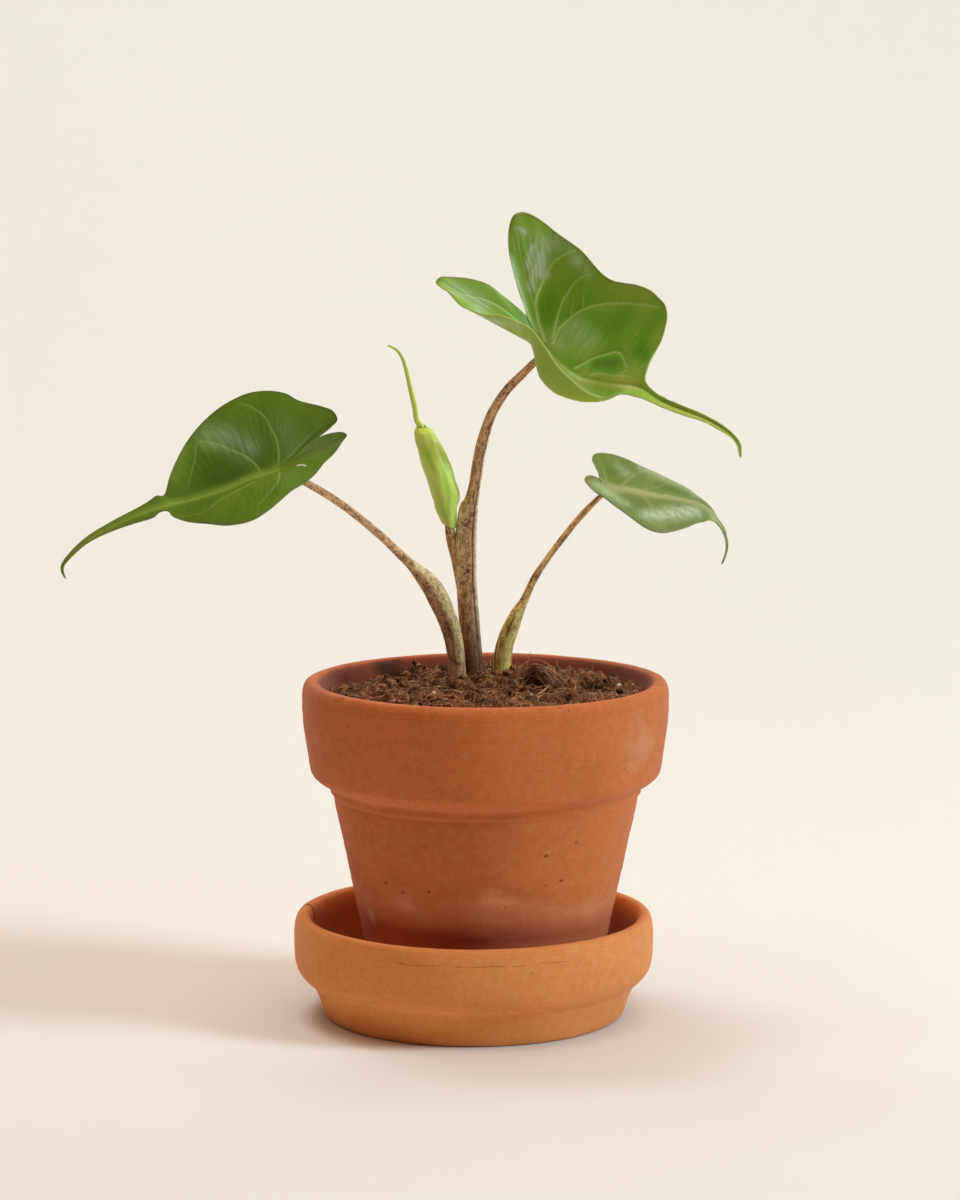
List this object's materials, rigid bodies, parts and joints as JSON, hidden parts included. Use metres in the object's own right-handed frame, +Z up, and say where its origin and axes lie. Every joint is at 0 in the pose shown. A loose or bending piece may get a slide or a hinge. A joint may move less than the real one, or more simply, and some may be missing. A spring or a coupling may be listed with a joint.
{
  "type": "potted alocasia plant",
  "caption": "Small foliage plant with long-tailed ray-shaped leaves on slender mottled stalks, in a filled clay pot standing on its saucer.",
  "frame": {"origin": "centre of the saucer's flat underside", "axes": "+Z up, the front of the plant faces -Y, the tallest leaf's tail points to +X"},
  "size_m": [0.2353, 0.1304, 0.2866],
  "materials": {
    "saucer_clay": "matte unglazed clay",
    "pot_clay": "matte unglazed clay",
    "soil": "loose coir and peat",
    "stalk": "satin, mottled",
    "stalk_pale": "satin, mottled",
    "leaf": "satin with pale veins",
    "leaf_pale": "satin with pale veins",
    "leaf_young": "glossy, ribbed"
  },
  "bodies": {
    "root": {"saucer": "saucer_clay", "pot": "pot_clay", "soil": "soil", "petiole_left": "stalk", "petiole_top": "stalk", "petiole_right": "stalk_pale", "leaf_left": "leaf", "leaf_top": "leaf", "leaf_right": "leaf_pale", "leaf_new": "leaf_young"}
  },
  "joints": []
}
